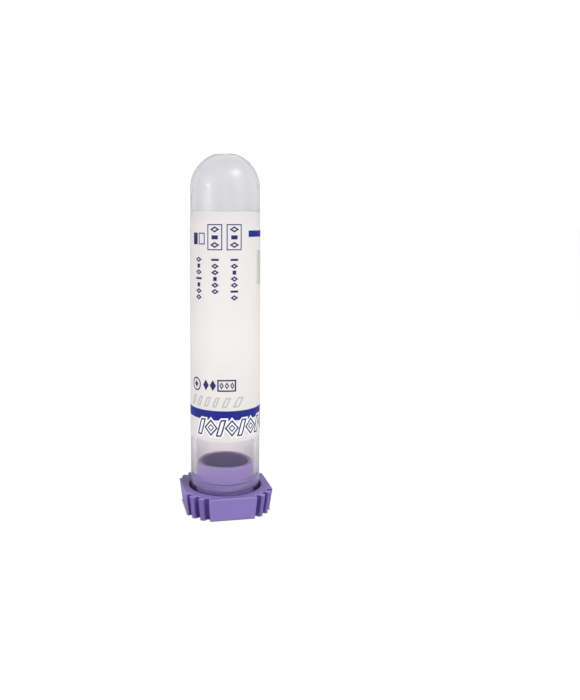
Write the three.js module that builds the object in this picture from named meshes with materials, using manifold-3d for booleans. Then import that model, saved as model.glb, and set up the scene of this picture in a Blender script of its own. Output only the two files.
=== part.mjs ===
// A small plastic blood collection tube, standing mouth down on its push cap.
// Millimetres, +Z up. The origin is the centre of the cap's end face, which the whole object stands on.
// Three separate pieces: the moulded tube, the film label wrapped round it, and the moulded cap, whose hollow
// plug goes up into the tube's mouth.

import * as THREE from "three";
import { mergeVertices } from "three/addons/utils/BufferGeometryUtils.js";
import Module from "manifold-3d";

const wasm = await Module();
wasm.setup();

// Tube: a barrel that narrows very slightly towards its half-round closed end.
const tubeDiameter = 12; // at the mouth
const tubeDraft = 0.15; // how far the wall leans in on its way from the mouth to the dome
const tubeWall = 0.9;
const tubeLength = 58.65; // from the mouth to the crown of the closed end
const crownCut = 0.3; // how far the small flat on the crown stands below the full round
const mouthRounding = 0.2;

// Label: a film sleeve that goes once round the barrel.
const labelThickness = 0.08;
const labelGap = 0.03; // between the barrel and the film
const labelLength = 38.1;
const labelFromMouth = 11.1; // bare barrel between the mouth and the label

// Cap, outer grip block: four flats, and a ribbed arc at each corner. It narrows towards the end face.
const capHeight = 3.9;
const collarWall = 1.3; // from the channel to a flat, at the side that faces the tube
const flatDraft = 0.525; // how far each flat leans in on its way to the end face
const flatLength = 8.35; // at the side that faces the tube
const groovesPerCorner = 3;
const ribWidth = 0.95; // at the rib's tip, between two grooves
const grooveDepth = 0.9;

// Cap, channel that takes the tube's mouth.
const channelDepth = 1.9;
const channelGap = 0.3; // outside the barrel
const seatClearance = 0.02; // between the tube's mouth and the channel's floor

// Cap, hollow plug.
const plugLength = 6.3; // from the channel's floor to the plug's rim
const plugClearance = 0.05; // between the seal and the bore
const neckRelief = 0.1; // how far the plug's root stands back from the seal
const sealStart = 2.5; // from the channel's floor
const sealLength = 1.1;
const shoulderRise = 0.9; // from the seal up to the slimmer tip
const shoulderStep = 0.17; // how far the tip stands in from the seal
const tipTaper = 0.16; // how far the tip narrows on its way to the rim
const rimRounding = 0.15;
const plugWall = 0.67; // at the rim

// Cap, recess in the end face, with two lugs on its wall and a flat tongue in front of a slot.
const recessWall = 0.85; // between the recess and the plug's root
const recessDepth = 4.3;
const webThickness = 0.9; // between the recess and the plug's bore
const lugWidth = 2.1;
const lugHeight = 0.6;
const lugSetback = 0.4; // from the end face
const tongueInset = 1.1; // from the recess's wall to the tongue's near side
const tongueThickness = 0.8;
const tongueSetback = 0.15; // from the end face
const slotWidth = 0.7;
const slotLength = 3.6;
const slotDepth = 3.4;

// How finely round forms are cut.
const turnSegments = 72;
const domeSegments = 14;
const roundingSegments = 3;
const arcStepsPerTooth = 2;

const overlap = 0.5; // how far a cutting body, or the plug's foot, runs past the face that it starts from
const sink = 0.1; // how far the lugs and the tongue run into the walls that carry them

const tubeRadius = tubeDiameter / 2;
const boreRadius = tubeRadius - tubeWall;
const channelRadius = tubeRadius + channelGap;
const channelFloor = capHeight - channelDepth;
const mouthZ = channelFloor + seatClearance;
const domeRadius = tubeRadius - tubeDraft;
const domeCentre = mouthZ + tubeLength + crownCut - domeRadius;
const halfAcrossFlats = channelRadius + collarWall;
const sealRadius = boreRadius - plugClearance;
const neckRadius = sealRadius - neckRelief;
const recessRadius = neckRadius - recessWall;

/** A solid of revolution about Z, from a profile of [radius, height] points. */
function turned(profile) {
  const points = profile.map(([radius, height]) => new THREE.Vector2(radius, height));
  return new THREE.LatheGeometry(points, turnSegments).rotateX(Math.PI / 2);
}

/** [radius, height] points of an arc about a centre, from one angle to another, in radians above outward. */
function arc(radius, height, size, from, to, steps) {
  return Array.from({ length: steps + 1 }, (_, i) => {
    const angle = from + ((to - from) * i) / steps;
    return [Math.max(0, radius + size * Math.cos(angle)), height + size * Math.sin(angle)];
  });
}

/** A solid disc about Z. */
function disc(radius, low, high) {
  return turned([[0, low], [radius, low], [radius, high], [0, high]]);
}

/** A square bar that lies across a direction from the axis, between two distances and two heights. */
function bar(near, far, width, low, high, direction) {
  return new THREE.BoxGeometry(far - near, width, high - low)
    .translate((near + far) / 2, 0, (low + high) / 2)
    .rotateZ(direction);
}

/** The closed solid that a geometry bounds. */
function solid(geometry) {
  const bare = geometry.clone();
  bare.deleteAttribute("normal");
  bare.deleteAttribute("uv");
  const merged = mergeVertices(bare);
  const corners = Array.from(merged.index.array);
  const kept = [];
  for (let i = 0; i < corners.length; i += 3) {
    const [a, b, c] = corners.slice(i, i + 3);
    if (a !== b && b !== c && c !== a) kept.push(a, b, c);
  }
  return new wasm.Manifold(
    new wasm.Mesh({
      numProp: 3,
      vertProperties: new Float32Array(merged.attributes.position.array),
      triVerts: new Uint32Array(kept),
    }),
  );
}

/** The geometry of a solid's surface. */
function surface(body) {
  const { vertProperties, triVerts } = body.getMesh();
  const geometry = new THREE.BufferGeometry();
  geometry.setAttribute("position", new THREE.BufferAttribute(vertProperties, 3));
  geometry.setIndex(new THREE.BufferAttribute(triVerts, 1));
  geometry.computeVertexNormals();
  return geometry;
}

function piece(name, geometry, look) {
  const mesh = new THREE.Mesh(geometry, new THREE.MeshStandardMaterial(look));
  mesh.name = name;
  return mesh;
}

/** The barrel and its half-round closed end, as one wall of even thickness but for the crown's small flat. */
function tubeGeometry() {
  const edge = mouthZ + mouthRounding;
  const flatEdge = Math.asin(1 - crownCut / domeRadius);
  return turned([
    ...arc(0, domeCentre, domeRadius - tubeWall, Math.PI / 2, 0, domeSegments),
    ...arc(boreRadius + mouthRounding, edge, mouthRounding, Math.PI, 1.5 * Math.PI, roundingSegments),
    ...arc(tubeRadius - mouthRounding, edge, mouthRounding, -Math.PI / 2, 0, roundingSegments),
    ...arc(0, domeCentre, domeRadius, 0, flatEdge, domeSegments),
    [0, mouthZ + tubeLength],
  ]);
}

/** The film sleeve, which lies round the barrel and narrows with it. */
function labelGeometry() {
  const low = mouthZ + labelFromMouth;
  const high = low + labelLength;
  const inside = (height) => tubeRadius + labelGap - (tubeDraft * (height - mouthZ)) / (domeCentre - mouthZ);
  return turned([
    [inside(low), low],
    [inside(low) + labelThickness, low],
    [inside(high) + labelThickness, high],
    [inside(high), high],
    [inside(low), low],
  ]);
}

/** The grip block's outline at the side that faces the tube: a flat, then a ribbed arc, four times round. */
function gripOutline() {
  const tip = Math.hypot(halfAcrossFlats, flatLength / 2);
  const halfFlat = Math.atan(flatLength / 2 / halfAcrossFlats);
  const cornerAngle = Math.PI / 2 - 2 * halfFlat;
  const ribAngle = ribWidth / tip;
  const grooveAngle = (cornerAngle - (groovesPerCorner - 1) * ribAngle) / groovesPerCorner;
  const outline = [];
  const tooth = (radius, from, span) => {
    for (let step = 0; step <= arcStepsPerTooth; step += 1) {
      const angle = from + (span * step) / arcStepsPerTooth;
      outline.push(new THREE.Vector2(radius * Math.cos(angle), radius * Math.sin(angle)));
    }
  };
  for (let corner = 0; corner < 4; corner += 1) {
    let angle = (corner * Math.PI) / 2 + halfFlat;
    tooth(tip, angle, 0);
    for (let groove = 0; groove < groovesPerCorner; groove += 1) {
      tooth(tip - grooveDepth, angle, grooveAngle);
      angle += grooveAngle;
      if (groove < groovesPerCorner - 1) tooth(tip, angle, ribAngle);
      else tooth(tip, angle, 0);
      angle += ribAngle;
    }
  }
  return outline.filter((point, i) => i === 0 || point.distanceTo(outline[i - 1]) > 1e-6);
}

/** The grip block: the outline drawn out to the cap's height, narrowing evenly to the end face. */
function gripBlock() {
  const geometry = new THREE.ExtrudeGeometry(new THREE.Shape(gripOutline()), {
    depth: capHeight,
    bevelEnabled: false,
  });
  const position = geometry.attributes.position;
  const endShare = 1 - flatDraft / halfAcrossFlats;
  for (let i = 0; i < position.count; i += 1) {
    const share = endShare + (1 - endShare) * (position.getZ(i) / capHeight);
    position.setXY(i, position.getX(i) * share, position.getY(i) * share);
  }
  return geometry;
}

/** The hollow plug, with its foot sunk into the grip block below the channel. */
function plugGeometry() {
  const foot = channelFloor - overlap;
  const sealLow = channelFloor + sealStart;
  const sealHigh = sealLow + sealLength;
  const shoulderRadius = sealRadius - shoulderStep;
  const rimRadius = shoulderRadius - tipTaper;
  const rimEdge = channelFloor + plugLength - rimRounding;
  const bore = rimRadius - plugWall;
  const webTop = recessDepth + webThickness;
  return turned([
    [0, foot],
    [neckRadius, foot],
    [neckRadius, sealLow - neckRelief],
    [sealRadius, sealLow],
    [sealRadius, sealHigh],
    [shoulderRadius, sealHigh + shoulderRise],
    ...arc(rimRadius - rimRounding, rimEdge, rimRounding, 0, Math.PI / 2, roundingSegments),
    ...arc(bore + rimRounding, rimEdge, rimRounding, Math.PI / 2, Math.PI, roundingSegments),
    [bore, webTop],
    [0, webTop],
  ]);
}

/** The grip block with its channel, the plug on it, and the recess, lugs, tongue and slot in its end face. */
function capGeometry() {
  const root = recessDepth + sink;
  const backing = recessRadius + sink;
  const lug = (direction) => bar(recessRadius - lugHeight, backing, lugWidth, lugSetback, root, direction);
  const diagonal = (3 / 4) * Math.PI;
  const tongueNear = recessRadius - tongueInset;
  const tongueFar = tongueNear + tongueThickness;
  const tongueWidth = 2 * (Math.sqrt(recessRadius ** 2 - tongueNear ** 2) + sink);
  return surface(
    solid(gripBlock())
      .subtract(solid(disc(channelRadius, channelFloor, capHeight + overlap)))
      .add(solid(plugGeometry()))
      .subtract(solid(disc(recessRadius, -overlap, recessDepth)))
      .add(solid(lug(0)))
      .add(solid(lug(-Math.PI / 2)))
      .add(solid(bar(tongueNear, tongueFar, tongueWidth, tongueSetback, root, diagonal)))
      .subtract(solid(bar(tongueFar, tongueFar + slotWidth, slotLength, -overlap, slotDepth, diagonal))),
  );
}

const tube = piece("tube", tubeGeometry(), { color: 0xd5d7db, roughness: 0.3, metalness: 0 });
const label = piece("label", labelGeometry(), { color: 0xefedea, roughness: 0.5, metalness: 0 });
const cap = piece("cap", capGeometry(), { color: 0x7b6bb0, roughness: 0.4, metalness: 0 });

const group = new THREE.Group();
group.add(cap, tube, label);

export default group;
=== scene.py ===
import math

import bmesh
import bpy
from mathutils import Matrix, Vector


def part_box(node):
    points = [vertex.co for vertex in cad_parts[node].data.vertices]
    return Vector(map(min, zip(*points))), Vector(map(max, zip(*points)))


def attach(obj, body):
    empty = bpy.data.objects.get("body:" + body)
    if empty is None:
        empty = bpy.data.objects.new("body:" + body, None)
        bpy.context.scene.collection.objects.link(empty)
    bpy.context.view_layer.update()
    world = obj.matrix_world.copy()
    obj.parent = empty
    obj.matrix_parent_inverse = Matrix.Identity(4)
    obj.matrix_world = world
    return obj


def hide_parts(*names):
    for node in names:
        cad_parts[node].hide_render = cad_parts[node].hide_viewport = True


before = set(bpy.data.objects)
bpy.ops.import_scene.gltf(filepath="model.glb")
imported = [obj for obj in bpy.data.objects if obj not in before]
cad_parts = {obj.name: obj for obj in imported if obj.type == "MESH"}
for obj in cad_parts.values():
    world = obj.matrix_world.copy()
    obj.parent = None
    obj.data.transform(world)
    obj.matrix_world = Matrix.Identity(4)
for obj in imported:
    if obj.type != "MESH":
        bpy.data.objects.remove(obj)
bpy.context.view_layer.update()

# ------------------------------------------------------------------------------------------- Push cap
# The cap is one injection moulding in violet low-density polyethylene. It has a square grip block with
# ribbed corners, a channel that takes the tube's mouth, and a hollow plug that seals inside the bore.
# The whole object stands on its end face, which has a recess with two lugs, a tongue and a slot.

MM = 0.001  # sizes here are in millimetres, and Blender's are in metres


def box_mm(node):
    """The lowest and highest corners of a CAD node, in millimetres."""
    low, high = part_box(node)
    return low / MM, high / MM


tube_low, tube_high = box_mm("tube")
cap_high = box_mm("cap")[1]
barrel_radius = tube_high.x
half_across_flats = cap_high.x
rim_height = cap_high.z

BLOCK_HEIGHT = 3.9
FLAT_DRAFT = 0.525  # how far each flat leans in on its way to the end face
FLAT_LENGTH = 8.35
GROOVES_PER_CORNER = 3
RIB_WIDTH = 0.95
GROOVE_DEPTH = 0.9
RIB_SHADE = 0.65  # how far the corner ribs take on the grooves' painted shade
RIB_ROUNDING = 0.13
GROOVE_ROUNDING = 0.24
GRIP_EDGE_ROUNDING = 0.15  # where the flats and ribs meet the side that faces the tube
END_EDGE_ROUNDING = 0.19  # where they meet the end face
CHANNEL_GAP = 0.3  # between the channel's wall and the barrel
SEAT_CLEARANCE = 0.02  # between the channel's floor and the tube's mouth
EDGE_ROUNDING = 0.13  # at the mouths of the channel and the recess
ROOT_FILLET = 0.25
NECK_RADIUS = 4.95
WALL = 0.9  # of the tube, whose bore the seal presses on
SEAL_RADIUS = barrel_radius - WALL + 0.01
SEAL_LOW, SEAL_HIGH = 4.3, 5.32
SEAL_EASE = 0.1  # how gently the seal's lower edge comes in
LINE_HEIGHT, LINE_DEPTH = 0.18, 0.1  # the narrow groove above the seal
GUIDE_HIGH = 6.3  # above the groove the plug fills the bore as far as here
SHOULDER_RADIUS, SHOULDER_HEIGHT = 4.94, 7.3
RIM_RADIUS = 4.82
RIM_ROUNDING = 0.2
PLUG_BORE = 4.05
PLUG_FLOOR = 5.2
RECESS_RADIUS = 4.1
RECESS_DEPTH = 4.3
BAR_ROUNDING = 0.12  # on the lugs and the tongue in the recess
ARC_STEPS = 5
TURN_STEPS = 160
SHARPEST_BEND = 40  # in degrees: an edge that bends more stays crisp


def arc(across, height, size, start, end, steps=ARC_STEPS):
    """[radius, height] points of an arc about a centre, between two angles in degrees above outward."""
    angles = [math.radians(start + (end - start) * step / steps) for step in range(steps + 1)]
    return [(across + size * math.cos(angle), height + size * math.sin(angle)) for angle in angles]


def turned(bm, profile):
    """Turns [radius, height] points about Z, and returns their rings."""
    rings = []
    for radius, height in profile:
        if radius < 1e-6:
            rings.append([bm.verts.new((0, 0, height))] * TURN_STEPS)
            continue
        turns = [math.tau * step / TURN_STEPS for step in range(TURN_STEPS)]
        places = [(radius * math.cos(turn), radius * math.sin(turn), height) for turn in turns]
        rings.append([bm.verts.new(place) for place in places])
    for ring, following in zip(rings, rings[1:]):
        for i in range(TURN_STEPS):
            # A ring on the axis is a single point, so the faces that meet there have three corners.
            corners = [ring[i - 1], ring[i], following[i], following[i - 1]]
            bm.faces.new(list(dict.fromkeys(corners)))
    return rings


def rounded(corners):
    """A closed outline through (point, rounding) corners, as (point, outward direction) pairs."""
    outline = []
    for i, (corner, rounding) in enumerate(corners):
        before = (corners[i - 1][0] - corner).normalized()
        after = (corners[(i + 1) % len(corners)][0] - corner).normalized()
        half = before.angle(after) / 2
        middle = (before + after).normalized()
        centre = corner + middle * rounding / math.sin(half)
        outward = -1 if before.cross(after) > 0 else 1
        sweep = math.pi / 2 - half
        for step in range(ARC_STEPS + 1):
            turn = outward * sweep * (2 * step / ARC_STEPS - 1)
            direction = Matrix.Rotation(turn, 2) @ -middle
            outline.append((centre + direction * rounding, direction * outward))
    return outline


def grip_outline():
    """The grip block's outline at the side that faces the tube: a flat, then a ribbed corner, four times."""
    tip = math.hypot(half_across_flats, FLAT_LENGTH / 2)
    half_flat = math.atan(FLAT_LENGTH / 2 / half_across_flats)
    rib_turn = RIB_WIDTH / tip
    corner_turn = math.pi / 2 - 2 * half_flat
    groove_turn = (corner_turn - (GROOVES_PER_CORNER - 1) * rib_turn) / GROOVES_PER_CORNER
    corners = []
    for corner in range(4):
        for groove in range(GROOVES_PER_CORNER):
            start = corner * math.pi / 2 + half_flat + groove * (groove_turn + rib_turn)
            end = start + groove_turn
            for radius, angle, rounding in (
                (tip, start, RIB_ROUNDING),
                (tip - GROOVE_DEPTH, start, GROOVE_ROUNDING),
                (tip - GROOVE_DEPTH, end, GROOVE_ROUNDING),
                (tip, end, RIB_ROUNDING),
            ):
                point = Vector((math.cos(angle), math.sin(angle))) * radius
                corners.append((point, rounding))
    return rounded(corners)


def grip_sides(bm):
    """The grip block's flats, ribs and rounded edges. Returns the loops at the end face and at the top."""
    outline = grip_outline()
    end_edge = arc(0, 0, END_EDGE_ROUNDING, 90, 0)
    painted_edge_highlight = arc(0, BLOCK_HEIGHT - GRIP_EDGE_ROUNDING, GRIP_EDGE_ROUNDING, 0, 90)
    levels = [(END_EDGE_ROUNDING - out, END_EDGE_ROUNDING - up) for out, up in end_edge]
    levels += [(GRIP_EDGE_ROUNDING - out, up) for out, up in painted_edge_highlight]
    tip = math.hypot(half_across_flats, FLAT_LENGTH / 2)
    ribs_reach = 1.6 * RIB_WIDTH / tip
    shade_share = bm.verts.layers.float["painted_shade"]
    edge = bm.verts.layers.float["painted_edge_highlight"]
    loops = []
    for inset, height in levels:
        share = 1 - FLAT_DRAFT / half_across_flats * (1 - height / BLOCK_HEIGHT)
        loops.append([bm.verts.new((*((point - out * inset) * share), height)) for point, out in outline])
        for vertex, (point, out) in zip(loops[-1], outline):
            # The loops round the upper edge get a painted highlight.
            if height > BLOCK_HEIGHT - GRIP_EDGE_ROUNDING:
                vertex[edge] = math.sin(math.pi * inset / GRIP_EDGE_ROUNDING)
            elif height > END_EDGE_ROUNDING / 2:
                # Painted shade: darker in the grooves, and on the ribs in the middle of each corner.
                off_diagonal = abs(math.atan2(point.y, point.x) % (math.pi / 2) - math.pi / 4)
                ribbed = RIB_SHADE if off_diagonal < ribs_reach else 0
                vertex[shade_share] = min(1.0, max(ribbed, (tip - point.length) / GROOVE_DEPTH))
    for loop, following in zip(loops, loops[1:]):
        for i in range(len(loop)):
            bm.faces.new((loop[i - 1], loop[i], following[i], following[i - 1]))
    return loops[0], loops[-1]


def fill_between(bm, *loops):
    """Fills the flat face between two loops."""
    edges = [bm.edges.get((loop[i - 1], loop[i])) for loop in loops for i in range(len(loop))]
    bmesh.ops.triangle_fill(bm, use_beauty=True, edges=edges)


def channel_and_plug():
    """The profile from the channel's rounded mouth, down its wall, up the plug and down the plug's bore."""
    channel = barrel_radius + CHANNEL_GAP
    floor = tube_low.z - SEAT_CLEARANCE
    return [
        *arc(channel + EDGE_ROUNDING, BLOCK_HEIGHT - EDGE_ROUNDING, EDGE_ROUNDING, 90, 180),
        *arc(channel - ROOT_FILLET, floor + ROOT_FILLET, ROOT_FILLET, 0, -90),
        *arc(NECK_RADIUS + ROOT_FILLET, floor + ROOT_FILLET, ROOT_FILLET, 270, 180),
        (NECK_RADIUS, SEAL_LOW - 1.2 * SEAL_EASE),
        (SEAL_RADIUS - 0.3 * SEAL_EASE, SEAL_LOW - 0.3 * SEAL_EASE),
        (SEAL_RADIUS, SEAL_LOW + SEAL_EASE),
        (SEAL_RADIUS, SEAL_HIGH),
        (SEAL_RADIUS - LINE_DEPTH, SEAL_HIGH + 0.2 * LINE_HEIGHT),
        (SEAL_RADIUS - LINE_DEPTH, SEAL_HIGH + 0.8 * LINE_HEIGHT),
        (SEAL_RADIUS, SEAL_HIGH + LINE_HEIGHT),
        (SEAL_RADIUS, GUIDE_HIGH),
        (SHOULDER_RADIUS, SHOULDER_HEIGHT),
        *arc(RIM_RADIUS - RIM_ROUNDING, rim_height - RIM_ROUNDING, RIM_ROUNDING, 4, 90),
        *arc(PLUG_BORE + RIM_ROUNDING, rim_height - RIM_ROUNDING, RIM_ROUNDING, 90, 180),
        *arc(PLUG_BORE - ROOT_FILLET, PLUG_FLOOR + ROOT_FILLET, ROOT_FILLET, 0, -90),
        (0, PLUG_FLOOR),
    ]


def end_recess():
    """The profile of the round recess in the end face."""
    return [
        *arc(RECESS_RADIUS + EDGE_ROUNDING, EDGE_ROUNDING, EDGE_ROUNDING, -90, -180),
        *arc(RECESS_RADIUS - ROOT_FILLET, RECESS_DEPTH - ROOT_FILLET, ROOT_FILLET, 0, 90),
        (0, RECESS_DEPTH),
    ]


def as_piece(name, bm):
    """A Blender object, in metres, from a mesh in millimetres."""
    bmesh.ops.recalc_face_normals(bm, faces=bm.faces)
    bmesh.ops.scale(bm, vec=(MM, MM, MM), verts=bm.verts)
    mesh = bpy.data.meshes.new(name)
    bm.to_mesh(mesh)
    bm.free()
    piece = bpy.data.objects.new(name, mesh)
    bpy.context.scene.collection.objects.link(piece)
    return piece


def bar(near, far, width, low, high, direction):
    """A bar with rounded edges that lies across a direction from the axis, in degrees."""
    bm = bmesh.new()
    bmesh.ops.create_cube(bm, size=1)
    bmesh.ops.scale(bm, vec=(far - near, width, high - low), verts=bm.verts)
    bmesh.ops.bevel(bm, geom=bm.edges[:], offset=BAR_ROUNDING, segments=3, affect="EDGES", profile=0.5)
    bmesh.ops.translate(bm, vec=((near + far) / 2, 0, (low + high) / 2), verts=bm.verts)
    bmesh.ops.rotate(bm, matrix=Matrix.Rotation(math.radians(direction), 3, "Z"), verts=bm.verts)
    return as_piece("bar", bm)


def combine(piece, other, operation):
    """Joins another solid to a piece, or cuts it out of the piece."""
    boolean = piece.modifiers.new("combine", "BOOLEAN")
    boolean.operation = operation
    boolean.solver = "EXACT"
    boolean.object = other
    bpy.context.view_layer.update()
    shaped = piece.evaluated_get(bpy.context.evaluated_depsgraph_get())
    piece.data = bpy.data.meshes.new_from_object(shaped)
    piece.modifiers.remove(boolean)
    bpy.data.objects.remove(other)


def smooth(piece):
    """Shades a piece smooth except at its crisp edges, and keeps its flat faces flat."""
    piece.data.shade_smooth()
    piece.data.set_sharp_from_angle(angle=math.radians(SHARPEST_BEND))
    weighted = piece.modifiers.new("flat faces stay flat", "WEIGHTED_NORMAL")
    weighted.keep_sharp = True
    weighted.weight = 100


def plug_shades(radius, height):
    """How thin-walled the channel and plug are at a radius and a height, which also paints them pale as
    painted light, and how dark their painted shade is, each from 0 to 1.
    """
    slack = 0.01
    in_line = SEAL_HIGH + slack < height < SEAL_HIGH + LINE_HEIGHT - slack
    on_channel = radius > SEAL_RADIUS + ROOT_FILLET
    on_seal = radius > SEAL_RADIUS - slack and height < SEAL_HIGH + slack
    in_bore = radius <= PLUG_BORE + slack
    # The seal's groove, the bore, the channel and the neck are painted dark, as painted shade; the plug's
    # outside is painted pale, as painted light.
    if in_line:
        return 0, 1
    if on_channel:
        return 0, 0.35
    if on_seal:
        return 0.8, 0.12
    if in_bore:
        return 0, 1
    return (1, 0) if height > SEAL_LOW else (0.4, 0.4)


def make_cap():
    """The cap's whole body, with the painted light and shade that its plastic reads from the mesh."""
    bm = bmesh.new()
    for name in ("painted_shade", "painted_edge_highlight", "thin_wall_painted_pale"):
        bm.verts.layers.float.new(name)
    end_loop, top_loop = grip_sides(bm)
    rings = turned(bm, channel_and_plug())
    thin_and_pale = bm.verts.layers.float["thin_wall_painted_pale"]
    shade_share = bm.verts.layers.float["painted_shade"]
    # The first rings are the channel's rounded mouth, which keeps the block's own colour. The rest get
    # painted light and painted shade.
    for ring in rings[ARC_STEPS:]:
        shades = plug_shades(ring[0].co.xy.length, ring[0].co.z)
        for vertex in ring:
            vertex[thin_and_pale], vertex[shade_share] = shades
    fill_between(bm, top_loop, rings[0])
    fill_between(bm, end_loop, turned(bm, end_recess())[0])
    cap = as_piece("push_cap", bm)
    lug_height, lug_width, lug_setback, backing = 0.6, 2.1, 0.4, 0.1
    root = RECESS_DEPTH + backing
    for direction in (0, -90):
        lug = (RECESS_RADIUS - lug_height, RECESS_RADIUS + backing, lug_width, lug_setback, root, direction)
        combine(cap, bar(*lug), "UNION")
    tongue_near, tongue_far, tongue_setback, diagonal = 3.0, 3.8, 0.15, 135
    tongue_width = 2 * (math.sqrt(RECESS_RADIUS**2 - tongue_near**2) + backing)
    combine(cap, bar(tongue_near, tongue_far, tongue_width, tongue_setback, root, diagonal), "UNION")
    slot_far, slot_length, slot_start, slot_depth = 4.5, 3.6, -0.5, 3.4
    combine(cap, bar(tongue_far, slot_far, slot_length, slot_start, slot_depth, diagonal), "DIFFERENCE")
    smooth(cap)
    return cap


def linear(srgb):
    """An sRGB hex colour as the linear colour that a shader takes."""
    tones = [int(srgb[start : start + 2], 16) / 255 for start in (1, 3, 5)]
    return (*[tone / 12.92 if tone <= 0.04045 else ((tone + 0.055) / 1.055) ** 2.4 for tone in tones], 1)


def add(material, kind, links=None, **settings):
    """Adds a node to a material or the world. Links go to its sockets, settings to its sockets or itself."""
    node = material.node_tree.nodes.new(kind)
    for name, value in settings.items():
        if name in node.inputs:
            node.inputs[name].default_value = value
        else:
            setattr(node, name, value)
    for name, source in (links or {}).items():
        material.node_tree.links.new(source, node.inputs[name])
    return node


def new_material(name):
    """An empty node material with only its output."""
    material = bpy.data.materials.new(name)
    material.use_nodes = True
    material.node_tree.nodes.clear()
    return material


def finish_with(material, surface, volume=None):
    """Gives a material its surface and, if the light goes through it, its volume."""
    output = add(material, "ShaderNodeOutputMaterial", {"Surface": surface.outputs[0]})
    if volume:
        material.node_tree.links.new(volume.outputs[0], output.inputs["Volume"])
    return material


def moulded_violet_polyethylene():
    """Low-density polyethylene, pigmented and moulded: a waxy plastic with a soft, broad sheen. Light goes
    a little way in, most in the thin plug. The plug is also painted pale, as painted light, and the grooves,
    corner ribs, channel, seal groove, neck and bore are painted dark, as painted shade. The upper edge
    carries a painted highlight. The pigment drifts slightly, and the mould's fine grain dulls the gloss."""
    material = new_material("moulded_violet_polyethylene")
    place = add(material, "ShaderNodeTexCoord").outputs["Object"]
    drift = add(material, "ShaderNodeTexNoise", {"Vector": place}, Scale=1 / (2.5 * MM), Detail=3)
    block = add(material, "ShaderNodeValToRGB", {"Fac": drift.outputs["Fac"]})
    block.color_ramp.elements[0].color = linear("#8b78bc")
    block.color_ramp.elements[1].color = linear("#917ec2")
    # Painted shade: the grooves, corner ribs, channel, seal groove, neck and bore are darkened towards the
    # colour below.
    groove = add(material, "ShaderNodeAttribute", attribute_name="painted_shade")
    shade_share = add(material, "ShaderNodeMapRange", {"Value": groove.outputs["Fac"]})
    shade_share.inputs["To Max"].default_value = 0.7
    towards_shade = {"Fac": shade_share.outputs["Result"], "Color1": block.outputs["Color"]}
    shaded_colour = add(material, "ShaderNodeMixRGB", towards_shade)
    shaded_colour.inputs["Color2"].default_value = linear("#3a2685")
    # Painted highlight: the upper edge is lightened towards the colour below.
    edge = add(material, "ShaderNodeAttribute", attribute_name="painted_edge_highlight")
    highlight_share = add(material, "ShaderNodeMapRange", {"Value": edge.outputs["Fac"]})
    highlight_share.inputs["To Max"].default_value = 0.6
    towards_highlight = {"Fac": highlight_share.outputs["Result"], "Color1": shaded_colour.outputs["Color"]}
    highlighted = add(material, "ShaderNodeMixRGB", towards_highlight)
    highlighted.inputs["Color2"].default_value = linear("#b9abdb")
    # Painted light: where the wall is thin, the plug is painted paler, towards the colour below.
    thin_and_pale = add(material, "ShaderNodeAttribute", attribute_name="thin_wall_painted_pale")
    towards_pale = {"Fac": thin_and_pale.outputs["Fac"], "Color1": highlighted.outputs["Color"]}
    colour = add(material, "ShaderNodeMixRGB", towards_pale)
    colour.inputs["Color2"].default_value = linear("#b09ce0")
    # The mould's real grain is about 0.03 mm, too fine to show, so it is drawn at 0.12 mm.
    grain = add(material, "ShaderNodeTexNoise", {"Vector": place}, Scale=1 / (0.12 * MM), Detail=2)
    gloss = add(material, "ShaderNodeMapRange", {"Value": grain.outputs["Fac"]})
    gloss.inputs["To Min"].default_value = 0.34
    gloss.inputs["To Max"].default_value = 0.46
    relief = add(material, "ShaderNodeBump", {"Height": grain.outputs["Fac"]}, Strength=0.12)
    relief.inputs["Distance"].default_value = 0.01 * MM
    plastic = add(
        material,
        "ShaderNodeBsdfPrincipled",
        {
            "Base Color": colour.outputs["Color"],
            "Roughness": gloss.outputs["Result"],
            "Normal": relief.outputs["Normal"],
        },
    )
    plastic.inputs["IOR"].default_value = 1.51
    see_in = add(material, "ShaderNodeMapRange", {"Value": thin_and_pale.outputs["Fac"]})
    see_in.inputs["To Min"].default_value = 0.5
    material.node_tree.links.new(see_in.outputs["Result"], plastic.inputs["Subsurface Weight"])
    plastic.inputs["Subsurface Radius"].default_value = (0.8, 0.6, 1.0)
    plastic.inputs["Subsurface Scale"].default_value = 0.8 * MM
    return finish_with(material, plastic)


cap = make_cap()
cap.data.materials.clear()
cap.data.materials.append(moulded_violet_polyethylene())
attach(cap, "cap")
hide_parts("cap")

# ----------------------------------------------------------------------------------------------- Tube
# The tube is moulded in natural polypropylene, in one piece with its half-round closed end, where the
# plastic came in and left a small gate mark. Its mouth sits in the cap's channel, gripped by the plug.

MOUTH_ROUNDING = 0.2
DRAFT = 0.15  # how far the wall leans in on its way from the mouth to the dome
MILKY_MOUTH, MILKY_CROWN = 0.015, 0.3  # the shares of light that a face of the wall scatters
CLEAR_UP_TO, MILKY_FROM = 20, 54  # the heights between which the wall turns milky
TINT_FROM, TINT_TO = 12, 52  # the heights between which its painted tint turns from the mouth's to the crown's
CLOUDINESS = 0.045  # the share of light that a millimetre of the wall takes up
CROWN_CUT = 0.3  # how far the small flat on the crown stands below the full round
FLAT_EASE = 0.25  # the stretch in which the dome eases into that flat
GATE_RADIUS = 0.35
GATE_DISH = 0.12
BARREL_STEPS = 24
DOME_STEPS_INSIDE, DOME_STEPS_OUTSIDE = 40, 44

dome_radius = barrel_radius - DRAFT
dome = tube_high.z + CROWN_CUT - dome_radius


def drafted(up):
    """How far the barrel has narrowed at a height."""
    return DRAFT * (up - tube_low.z) / (dome - tube_low.z)


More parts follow.
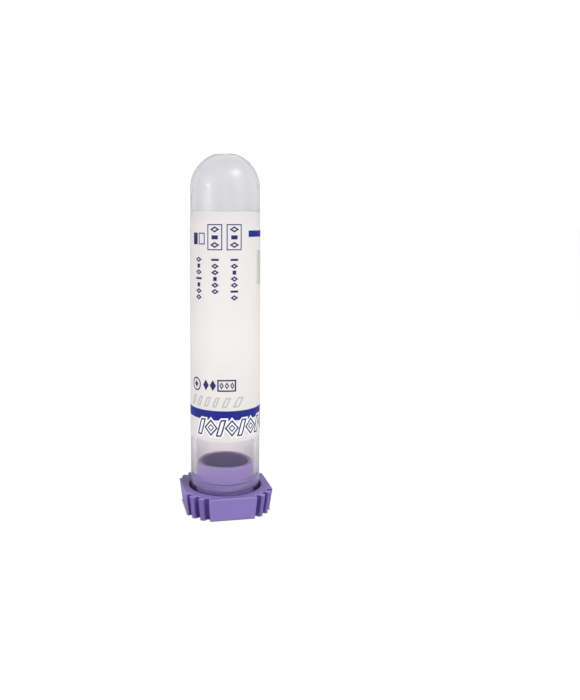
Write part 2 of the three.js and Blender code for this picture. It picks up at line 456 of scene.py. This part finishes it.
def tube_profile():
    """The wall's section: down the bore from inside the crown, round the mouth, and up the outside."""
    bore = barrel_radius - WALL
    edge = tube_low.z + MOUTH_ROUNDING
    heights = [edge + (dome - edge) * step / BARREL_STEPS for step in range(1, BARREL_STEPS)]
    crown = tube_high.z
    flat_edge = math.asin(1 - CROWN_CUT / dome_radius)
    flat_radius = dome_radius * math.cos(flat_edge)
    dome_end = math.degrees(flat_edge) - 3
    return [
        *arc(0, dome, dome_radius - WALL, 90, 0, DOME_STEPS_INSIDE),
        *[(bore - drafted(up), up) for up in reversed(heights)],
        *arc(bore + MOUTH_ROUNDING, edge, MOUTH_ROUNDING, 180, 270),
        *arc(barrel_radius - MOUTH_ROUNDING, edge, MOUTH_ROUNDING, -90, 0),
        *[(barrel_radius - drafted(up), up) for up in heights],
        *arc(0, dome, dome_radius, 0, dome_end, DOME_STEPS_OUTSIDE),
        (flat_radius + 0.36 * FLAT_EASE, crown - 0.18 * FLAT_EASE),
        (flat_radius - 0.2 * FLAT_EASE, crown - 0.04 * FLAT_EASE),
        (flat_radius - FLAT_EASE, crown),
        (2 * GATE_RADIUS, crown),
        (1.6 * GATE_RADIUS, crown - GATE_DISH),
        (1.1 * GATE_RADIUS, crown - GATE_DISH),
        (GATE_RADIUS, crown - 0.05),
        (0.8 * GATE_RADIUS, crown),
        (0, crown),
    ]


def make_tube():
    """The tube's wall, turned about its axis."""
    bm = bmesh.new()
    turned(bm, tube_profile())
    tube = as_piece("moulded_tube", bm)
    smooth(tube)
    return tube


def moulded_natural_polypropylene():
    """Polypropylene without pigment: clear at the mouth, where it cooled fast, and milkier and rougher
    towards the thick crown, where it had time to crystallise. It takes up a little light, green first."""
    material = new_material("moulded_natural_polypropylene")
    place = add(material, "ShaderNodeTexCoord").outputs["Object"]
    height = add(material, "ShaderNodeSeparateXYZ", {"Vector": place})
    flow = add(material, "ShaderNodeTexNoise", {"Vector": place}, Scale=1 / (6 * MM), Detail=2)
    swirl = add(material, "ShaderNodeMath", {0: flow.outputs["Fac"]}, operation="MULTIPLY")
    swirl.inputs[1].default_value = 8 * MM
    level = add(material, "ShaderNodeMath", {0: height.outputs["Z"], 1: swirl.outputs[0]}, operation="ADD")
    clarity = add(material, "ShaderNodeMapRange", {"Value": level.outputs[0]})
    clarity.inputs["From Min"].default_value = CLEAR_UP_TO * MM
    clarity.inputs["From Max"].default_value = MILKY_FROM * MM
    clarity.inputs["To Min"].default_value = 1 - MILKY_MOUTH
    clarity.inputs["To Max"].default_value = 1 - MILKY_CROWN
    gloss = add(material, "ShaderNodeMapRange", {"Value": clarity.outputs["Result"]})
    gloss.inputs["From Min"].default_value = 1 - MILKY_MOUTH
    gloss.inputs["From Max"].default_value = 1 - MILKY_CROWN
    gloss.inputs["To Min"].default_value = 0.05
    gloss.inputs["To Max"].default_value = 0.11
    clear = add(
        material,
        "ShaderNodeBsdfPrincipled",
        {"Roughness": gloss.outputs["Result"], "Transmission Weight": clarity.outputs["Result"]},
    )
    clear.inputs["IOR"].default_value = 1.49
    tint = add(material, "ShaderNodeMapRange", {"Value": level.outputs[0]})
    tint.inputs["From Min"].default_value = TINT_FROM * MM
    tint.inputs["From Max"].default_value = TINT_TO * MM
    # Painted light: low down the base tint is faintly mauve, a painted reflection of the violet cap, and
    # darker towards the outlines, a painted shade. At the crown it is faintly bluish, a painted reflection.
    slant = add(material, "ShaderNodeLayerWeight", Blend=0.6)
    painted_lower_tint = add(material, "ShaderNodeMixRGB", {"Fac": slant.outputs["Facing"]})
    painted_lower_tint.inputs["Color1"].default_value = linear("#fffafd")
    painted_lower_tint.inputs["Color2"].default_value = linear("#c8c3c6")
    towards_crown = {"Fac": tint.outputs["Result"], "Color1": painted_lower_tint.outputs["Color"]}
    colour = add(material, "ShaderNodeMixRGB", towards_crown)
    colour.inputs["Color2"].default_value = linear("#f7f7f9")
    material.node_tree.links.new(colour.outputs["Color"], clear.inputs["Base Color"])
    body = add(material, "ShaderNodeVolumeAbsorption", Color=linear("#5e0050"), Density=CLOUDINESS / MM)
    return finish_with(material, clear, body)


tube = make_tube()
tube.data.materials.append(moulded_natural_polypropylene())
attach(tube, "tube")
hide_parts("tube")

# ---------------------------------------------------------------------------------------------- Label
# The label is a white polypropylene film with adhesive on its back. It goes once round the barrel, and
# its end laps over its start at the back, where it stands up by one more thickness of film.

label_low, label_high = box_mm("label")
FILM = 0.05  # the film's thickness
ADHESIVE = 0.01  # between the barrel and the film
LAP_ADHESIVE = 0.005  # between the film's start and the end that laps over it
film_outside = barrel_radius + ADHESIVE + FILM  # were it laid round the mouth
LAP = 1.6  # how far the film's end runs on over its start
LAP_RAMP = 0.5  # the stretch in which the film climbs onto its start
FRONT = math.radians(-100.5)  # the direction from the axis to the middle of the print
WRAP_STEPS = 200
seam = FRONT + math.pi


def film_radius(turn, up):
    """The film's outside, at a height and at a turn in radians from its start to the end of its lap."""
    climb = (turn - (math.tau - LAP_RAMP / film_outside)) * film_outside / LAP_RAMP
    climb = max(0.0, min(1.0, climb))
    return film_outside - drafted(up) + (FILM + LAP_ADHESIVE) * climb * climb * (3 - 2 * climb)


def make_label():
    """The film, wound once round the barrel and over its own start."""
    bm = bmesh.new()
    whole = math.tau + LAP / film_outside
    rows = []
    for step in range(WRAP_STEPS + 1):
        turn = whole * step / WRAP_STEPS
        low, high = film_radius(turn, label_low.z), film_radius(turn, label_high.z)
        section = [
            (low - FILM, label_low.z),
            (low, label_low.z),
            (high, label_high.z),
            (high - FILM, label_high.z),
        ]
        across, along = math.cos(seam + turn), math.sin(seam + turn)
        rows.append([bm.verts.new((radius * across, radius * along, height)) for radius, height in section])
    for row, following in zip(rows, rows[1:]):
        for i in range(4):
            bm.faces.new((row[i - 1], row[i], following[i], following[i - 1]))
    bm.faces.new(rows[0])
    bm.faces.new(rows[-1])
    label = as_piece("film_label", bm)
    smooth(label)
    return label


def white_film():
    """Polypropylene film with a white print coat: satin, a little warm, and faintly uneven where the adhesive
    under it varies. A painted shade makes it greyer towards its two ends."""
    material = new_material("white_coated_polypropylene_film")
    place = add(material, "ShaderNodeTexCoord").outputs["Object"]
    lay = add(material, "ShaderNodeTexNoise", {"Vector": place}, Scale=1 / (5 * MM), Detail=2)
    colour = add(material, "ShaderNodeValToRGB", {"Fac": lay.outputs["Fac"]})
    colour.color_ramp.elements[0].color = linear("#e8e5e2")
    colour.color_ramp.elements[1].color = linear("#eeeae8")
    # Painted shade: the film is lightest in its middle and greyer towards its two ends.
    height = add(material, "ShaderNodeSeparateXYZ", {"Vector": place})
    level = add(material, "ShaderNodeMapRange", {"Value": height.outputs["Z"]})
    level.inputs["From Max"].default_value = 60 * MM
    shade = add(material, "ShaderNodeValToRGB", {"Fac": level.outputs["Result"]})
    shade.color_ramp.elements[0].position = 0.25
    shade.color_ramp.elements[0].color = linear("#f5f5f5")
    shade.color_ramp.elements[1].position = 0.86
    shade.color_ramp.elements[1].color = linear("#ebecf0")
    for position, tone in ((0.5, "#fefefe"), (0.68, "#f8f8f8"), (0.81, "#f5f6f8")):
        shade.color_ramp.elements.new(position).color = linear(tone)
    shaded = {"Color1": colour.outputs["Color"], "Color2": shade.outputs["Color"]}
    colour = add(material, "ShaderNodeMixRGB", shaded, blend_type="MULTIPLY", Fac=1)
    relief = add(material, "ShaderNodeBump", {"Height": lay.outputs["Fac"]}, Strength=0.2)
    relief.inputs["Distance"].default_value = 0.02 * MM
    film = add(
        material,
        "ShaderNodeBsdfPrincipled",
        {"Base Color": colour.outputs["Color"], "Normal": relief.outputs["Normal"]},
        Roughness=0.5,
        IOR=1.49,
    )
    return finish_with(material, film)


label = make_label()
label.data.materials.append(white_film())
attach(label, "tube")
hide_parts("label")

# ---------------------------------------------------------------------------------------------- Print
# The film is printed before it is laid: a blue ring and fill mark, then violet, tan and grey marks.
# All of it is plain shapes: lozenges, slanted bars, boxes and a ring stand where writing would be.

INK = 0.012  # how far a layer of ink stands off the film
INK_SINK = 0.01  # how far it reaches into the film
COLUMN = 0.3  # the widest step across, so that ink follows the film's curve
LINE, BOLD = 0.17, 0.24  # the widths of thin and of bold lines
BLUNT = 0.03  # half the height of a lozenge's blunt ends
LEAN = 0.45  # how far a slanted bar leans, as a share of its width
OVAL_START, OVAL_STEPS = 8, 16  # an oval's ends are blunt as far as the first angle, in degrees


def on_film(across, up, lift):
    """A point of the print: its distance across from the middle, its height, and how far off the film."""
    turn = across / film_outside + math.pi
    radius = film_radius(turn, up) + lift
    return radius * math.cos(seam + turn), radius * math.sin(seam + turn), up


def spread(left, right, margin=0):
    """Places across between two margins, close enough for ink to follow the film's curve."""
    columns = 2 * max(1, math.ceil((right - left) / COLUMN / 2))
    near, far = left + margin, right - margin
    return [near + (far - near) * step / columns for step in range(columns + 1)]


def plate(left, right, low, high, inset=0):
    """A rectangle, as (across, low, high) columns."""
    return [(across, low + inset, high - inset) for across in spread(left, right, inset)]


def lozenge(left, right, low, high, inset=0):
    """A lozenge that fills a rectangle, as (across, low, high) columns."""
    width, height = (right - left) / 2, (high - low) / 2
    share = 1 - inset * math.hypot(width, height) / (width * height)
    middle, level = (left + right) / 2, (low + high) / 2
    columns = []
    for across in spread(-1, 1):
        half = max(BLUNT, share * height * (1 - abs(across)))
        columns.append((middle + across * share * width, level - half, level + half))
    return columns


def slanted(left, right, low, high, inset=0):
    """A bar that leans to the right inside a rectangle, as (across, low, high) columns."""
    height = high - low
    lean = LEAN * (right - left)
    side = inset * math.hypot(1, lean / height) + lean * inset / height
    low, high = low + inset, high - inset
    slope = height / lean
    columns = []
    for across in spread(left, right, side):
        rise = low + (across - left - side) * slope + BLUNT
        fall = high - (right - side - across) * slope - BLUNT
        columns.append((across, max(low, fall), min(high, rise)))
    return columns


def round_plate(left, right, low, high, inset=0):
    """An oval that fills a rectangle, as (across, low, high) columns."""
    width, height = (right - left) / 2 - inset, (high - low) / 2 - inset
    middle, level = (left + right) / 2, (low + high) / 2
    sweep = 180 - 2 * OVAL_START
    angles = [math.radians(OVAL_START + sweep * step / OVAL_STEPS) for step in range(OVAL_STEPS + 1)]
    sides = [(width * math.cos(angle), height * math.sin(angle)) for angle in angles]
    return [(middle - out, level - rise, level + rise) for out, rise in sides]


def loop_of(columns):
    """The closed loop round some columns."""
    return [(across, low) for across, low, high in columns] + [
        (across, high) for across, low, high in reversed(columns)
    ]


def field(bm, columns, lift=INK):
    """A closed patch of ink over some columns."""
    levels = []
    for level in (-INK_SINK, lift):
        lows = [bm.verts.new(on_film(across, low, level)) for across, low, high in columns]
        highs = [bm.verts.new(on_film(across, high, level)) for across, low, high in columns]
        levels.append((lows, highs))
        for i in range(len(columns) - 1):
            bm.faces.new((lows[i], lows[i + 1], highs[i + 1], highs[i]))
    rims = [lows + highs[::-1] for lows, highs in levels]
    for i in range(len(rims[0])):
        bm.faces.new((rims[0][i - 1], rims[0][i], rims[1][i], rims[1][i - 1]))


def drawn(bm, shape, box, line, lift=INK):
    """A closed line of ink just inside a shape that fills a box."""
    outer, inner = shape(*box), shape(*box, inset=line)
    rings = [
        [bm.verts.new(on_film(across, up, level)) for across, up in loop_of(columns)]
        for columns, level in ((outer, -INK_SINK), (outer, lift), (inner, lift), (inner, -INK_SINK))
    ]
    for ring, following in zip(rings, rings[1:] + rings[:1]):
        for i in range(len(ring)):
            bm.faces.new((ring[i - 1], ring[i], following[i], following[i - 1]))


def printing_ink(name, srgb):
    """Printing ink on film: a thin, dense, slightly glossy layer that lies a shade unevenly."""
    material = new_material(name)
    place = add(material, "ShaderNodeTexCoord").outputs["Object"]
    density = add(material, "ShaderNodeTexNoise", {"Vector": place}, Scale=1 / (0.8 * MM), Detail=3)
    colour = add(material, "ShaderNodeValToRGB", {"Fac": density.outputs["Fac"]})
    tone = linear(srgb)
    colour.color_ramp.elements[0].color = tone
    colour.color_ramp.elements[1].color = (*[min(1.0, channel * 1.25) for channel in tone[:3]], 1)
    ink = add(
        material,
        "ShaderNodeBsdfPrincipled",
        {"Base Color": colour.outputs["Color"]},
        Roughness=0.5,
        IOR=1.45,
    )
    return finish_with(material, ink)


def printed(name, bm, material):
    """A piece of print that goes with the tube."""
    piece = as_piece(name, bm)
    smooth(piece)
    piece.data.materials.append(material)
    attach(piece, "tube")


# The blue ring goes right round, and the fill mark is a short bar near the top at the right.
RING_LOW, RING_HIGH = 16.8, 18.4
half_round = math.pi * film_outside
blue = bmesh.new()
field(blue, plate(LAP - half_round, LAP + half_round - 0.02, RING_LOW, RING_HIGH))
field(blue, plate(4.25, 9.4, 47.1, 48.15))
printed("blue_ring_and_fill_mark", blue, printing_ink("blue_printing_ink", "#07137c"))

# A row of outlined lozenges and slanted bars overlaps the ring's lower edge. Each is white inside and has
# a white margin.
ROW_LOW, ROW_HIGH, ROW_MARGIN = 14.05, 16.95, 0.26
ROW_PITCH = 0.86  # from one shape to the next, as a share of the first one's width
CORE_SIDE, CORE_END = 0.62, 0.8  # how far in a lozenge's inner lozenge starts
white, violet = bmesh.new(), bmesh.new()
left = -5.2
for shape, width in 4 * ((slanted, 1.8), (lozenge, 2.4)):
    box = (left, left + width, ROW_LOW, ROW_HIGH)
    field(white, shape(*box, inset=-ROW_MARGIN), 2 * INK)
    drawn(violet, shape, box, BOLD, 3 * INK)
    if shape is lozenge:
        core = (left + CORE_SIDE, left + width - CORE_SIDE, ROW_LOW + CORE_END, ROW_HIGH - CORE_END)
        drawn(violet, shape, core, LINE, 3 * INK)
    left += width * ROW_PITCH
printed("white_margins", white, printing_ink("white_printing_ink", "#efedf2"))

# Two upright boxes with three marks in each, and an open box beside a solid bar.
for left in (0.25, -3.05):
    drawn(violet, plate, (left, left + 2.58, 45.0, 49.2), LINE)
    drawn(violet, lozenge, (left + 0.5, left + 2.1, 47.85, 48.85), BOLD)
    field(violet, plate(left + 0.75, left + 1.85, 46.75, 47.4))
    drawn(violet, lozenge, (left + 0.5, left + 2.1, 45.35, 46.35), BOLD)
field(violet, plate(-6.3, -5.2, 45.9, 47.8))
drawn(violet, plate, (-4.9, -3.6, 45.9, 47.8), LINE)

# Three lines of small marks that run down the tube: open lozenges, solid blocks and solid bars.
LINE_PITCH = 1.03
MARK_HEIGHT = 0.9
for left, right, kinds in (
    (0.9, 2.2, "bar open block open open bar open"),
    (-2.35, -1.05, "bar open open block open open"),
    (-5.6, -4.25, "open block open bar block open open"),
):
    for step, kind in enumerate(kinds.split()):
        high = 43.9 - LINE_PITCH * step
        low = high - MARK_HEIGHT
        if kind == "open":
            drawn(violet, lozenge, (left, right, low, high), BOLD)
        elif kind == "block":
            field(violet, plate(left + 0.35, right - 0.35, low + 0.12, high - 0.12))
        else:
            field(violet, plate(left, right, low + 0.28, high - 0.28))

# Low on the tube: a box with three marks, two solid lozenges and a ring.
drawn(violet, plate, (-1.32, 1.87, 21.7, 23.7), BOLD)
for left in (-0.95, -0.05, 0.85):
    drawn(violet, lozenge, (left, left + 0.72, 22.1, 23.3), LINE)
for left in (-3.95, -2.65):
    field(violet, lozenge(left, left + 1.1, 21.75, 23.6))
drawn(violet, round_plate, (-6.6, -4.5, 21.45, 23.75), BOLD)
field(violet, lozenge(-6.0, -5.1, 22.0, 23.2))
printed("violet_marks", violet, printing_ink("violet_printing_ink", "#20175a"))

# A faint tan row above the ring, and a light grey field at the right for a written name.
tan, grey = bmesh.new(), bmesh.new()
for left, right in ((-6.9, -5.5), (-5.3, -4.0), (-3.8, -2.4), (-2.2, -0.9), (-0.6, 1.0), (1.3, 3.3)):
    drawn(tan, slanted, (left, right, 19.0, 20.7), BOLD)
printed("tan_row", tan, printing_ink("tan_printing_ink", "#bab3b4"))
field(grey, plate(6.55, 15.0, 39.2, 44.9))
printed("grey_name_field", grey, printing_ink("grey_printing_ink", "#bfbdba"))

# ----------------------------------------------------------------------------- Floor, light and camera
# The part stands on a plain white board in a softly lit grey studio. Two big walls at its sides give most of
# the light, and a soft box high on the right and a small lamp and panel at the left show in its gloss. The
# camera, just above the tube's middle, sees the board and backdrop as white.

CAMERA_TURN = math.radians(10.5)
CAMERA_PITCH = math.radians(7.32)
CAMERA_DISTANCE = 126.37 * MM
CAMERA_HEIGHT = 50.41 * MM
SENSOR = 36
LENS = 38.345
SHIFT_ACROSS, SHIFT_UP = 0.0927, -0.0539  # the lens's shift, as shares of the frame's longer side
FILL = 0.15  # brightness of the light from all round
ROOM = 0.5  # brightness of the studio's walls where they are reflected
BACKDROP = 1.1  # brightness of what stands behind and under the part
BEHIND = 1.04  # the same, seen through the tube
SHEET_SHARE = 0.15  # how much of the backdrop's white shows in the part's gloss
LIT_SHARE = 0.9  # how much of the board's look is its own glow, rather than the light that falls on it
FOOT_SHADOW = 0.35 * MM  # how far the thin shadow at the part's foot reaches
LIGHT_DISTANCE, LIGHT_AIM = 500 * MM, 40 * MM  # from the part, and the height that the lights aim at


def white_floor():
    """Matt white board: it scatters light evenly, and has no gloss or grain that shows. Where the camera sees
    it, it is lit up to the backdrop's white, but for a thin shadow at the part's foot. Seen through the
    tube, a painted shade makes it darker near the part."""
    material = new_material("matt_white_board")
    board = add(material, "ShaderNodeBsdfDiffuse", Color=linear("#f2f2f2"))
    place = add(material, "ShaderNodeTexCoord").outputs["Object"]
    reach = add(material, "ShaderNodeVectorMath", {0: place}, operation="LENGTH")
    # Painted shade on the board near the part, where it is seen through the tube.
    through = add(material, "ShaderNodeMapRange", {"Value": reach.outputs["Value"]})
    through.inputs["From Min"].default_value = 12 * MM
    through.inputs["From Max"].default_value = 40 * MM
    through.inputs["To Min"].default_value = 0.4
    through.inputs["To Max"].default_value = BEHIND
    path = add(material, "ShaderNodeLightPath")
    straight = {"Value": path.outputs["Is Camera Ray"], "To Min": through.outputs["Result"]}
    glow = add(material, "ShaderNodeMapRange", straight)
    glow.inputs["To Max"].default_value = BACKDROP
    openness = add(material, "ShaderNodeAmbientOcclusion", Distance=FOOT_SHADOW)
    shadow = add(material, "ShaderNodeMapRange", {"Value": openness.outputs["AO"]})
    shadow.inputs["From Min"].default_value = 0.5
    shadow.inputs["To Min"].default_value = 0.15
    shadowed = {"Strength": glow.outputs["Result"], "Color": shadow.outputs["Result"]}
    lit = add(material, "ShaderNodeEmission", shadowed)
    looks = {0: path.outputs["Is Camera Ray"], 1: path.outputs["Is Transmission Ray"]}
    looked_at = add(material, "ShaderNodeMath", looks, operation="MAXIMUM")
    share = add(material, "ShaderNodeMath", {0: looked_at.outputs[0]}, operation="MULTIPLY")
    share.inputs[1].default_value = LIT_SHARE
    surfaces = {0: share.outputs[0], 1: board.outputs[0], 2: lit.outputs[0]}
    return finish_with(material, add(material, "ShaderNodeMixShader", surfaces))


def make_floor():
    """The board, which runs on well past what the camera sees."""
    reach = 3000
    bm = bmesh.new()
    corners = ((-reach, -reach), (reach, -reach), (reach, reach), (-reach, reach))
    bm.faces.new([bm.verts.new((across, along, 0)) for across, along in corners])
    floor = as_piece("floor", bm)
    floor.data.materials.append(white_floor())


def soft_box(name, turn, rise, width, height, radiance, reflected=True):
    """A rectangular light of a given brightness and size in metres. It stands at angles, in degrees, to the
    right of the camera and above the floor. One that isn't reflected gives light without showing in gloss."""
    light = bpy.data.lights.new(name, "AREA")
    light.shape = "RECTANGLE"
    light.size, light.size_y = width, height
    light.energy = radiance * math.pi * width * height
    lamp = bpy.data.objects.new(name, light)
    azimuth, elevation = math.radians(-90 + turn) - CAMERA_TURN, math.radians(rise)
    level = math.cos(elevation)
    away = Vector((math.cos(azimuth) * level, math.sin(azimuth) * level, math.sin(elevation)))
    lamp.location = Vector((0, 0, LIGHT_AIM)) + away * LIGHT_DISTANCE
    lamp.rotation_euler = away.to_track_quat("Z", "Y").to_euler()
    lamp.visible_glossy = reflected
    bpy.context.scene.collection.objects.link(lamp)


def studio():
    """Soft grey light from all round. The camera sees a white backdrop, also through the tube, and a low
    white sheet behind the part shows faintly in its gloss."""
    world = bpy.data.worlds.new("studio")
    bpy.context.scene.world = world
    world.use_nodes = True
    background = world.node_tree.nodes["Background"]
    background.inputs["Color"].default_value = (1, 1, 1, 1)
    path = add(world, "ShaderNodeLightPath")
    direction = add(world, "ShaderNodeTexCoord").outputs["Generated"]
    ahead = add(world, "ShaderNodeVectorMath", {0: direction}, operation="DOT_PRODUCT")
    ahead.inputs[1].default_value = (math.sin(CAMERA_TURN), math.cos(CAMERA_TURN), 0)
    behind_part = add(world, "ShaderNodeMapRange", {"Value": ahead.outputs["Value"]})
    behind_part.inputs["From Min"].default_value = 0.4
    behind_part.inputs["From Max"].default_value = 0.85
    height = add(world, "ShaderNodeSeparateXYZ", {"Vector": direction})
    low_down = add(world, "ShaderNodeMapRange", {"Value": height.outputs["Z"]})
    low_down.inputs["From Min"].default_value = 0.3
    low_down.inputs["From Max"].default_value = 0.15
    sides = {0: behind_part.outputs["Result"], 1: low_down.outputs["Result"]}
    sheet = add(world, "ShaderNodeMath", sides, operation="MULTIPLY")
    in_gloss = {0: sheet.outputs[0], 1: path.outputs["Is Glossy Ray"]}
    reflection = add(world, "ShaderNodeMath", in_gloss, operation="MULTIPLY")
    faint = add(world, "ShaderNodeMath", {0: reflection.outputs[0]}, operation="MULTIPLY")
    faint.inputs[1].default_value = SHEET_SHARE
    whites = {0: faint.outputs[0], 1: path.outputs["Is Transmission Ray"]}
    white = add(world, "ShaderNodeMath", whites, operation="MAXIMUM")
    walls = add(world, "ShaderNodeMapRange", {"Value": path.outputs["Is Glossy Ray"]})
    walls.inputs["To Min"].default_value = FILL
    walls.inputs["To Max"].default_value = ROOM
    from_walls = {"Value": white.outputs[0], "To Min": walls.outputs["Result"]}
    indirect = add(world, "ShaderNodeMapRange", from_walls)
    indirect.inputs["To Max"].default_value = BEHIND
    straight = {"Value": path.outputs["Is Camera Ray"], "To Min": indirect.outputs["Result"]}
    strength = add(world, "ShaderNodeMapRange", straight)
    strength.inputs["To Max"].default_value = BACKDROP
    world.node_tree.links.new(strength.outputs["Result"], background.inputs["Strength"])


def place_camera():
    """The camera, in front of the part and a little to its left, looking slightly down."""
    camera = bpy.data.cameras.new("camera")
    camera.sensor_width = SENSOR
    camera.lens = LENS
    camera.shift_x, camera.shift_y = SHIFT_ACROSS, SHIFT_UP
    camera.clip_start = MM
    stand = bpy.data.objects.new("camera", camera)
    stand.location = (
        -CAMERA_DISTANCE * math.sin(CAMERA_TURN),
        -CAMERA_DISTANCE * math.cos(CAMERA_TURN),
        CAMERA_HEIGHT,
    )
    stand.rotation_euler = (math.pi / 2 - CAMERA_PITCH, 0, -CAMERA_TURN)
    bpy.context.scene.collection.objects.link(stand)
    bpy.context.scene.camera = stand


make_floor()
studio()
soft_box("soft_box_high_right", 49, 47, 0.18, 0.17, 5)
soft_box("panel_at_left", -57, 0, 0.11, 0.09, 1.2)
soft_box("lamp_at_left", -57, 9.5, 0.1, 0.055, 11)
soft_box("wall_at_right", 48, 35, 0.5, 0.5, 2.6, reflected=False)
soft_box("wall_at_left", -65, 8, 0.5, 0.5, 2.7, reflected=False)
place_camera()
bpy.context.scene.view_settings.view_transform = "Standard"
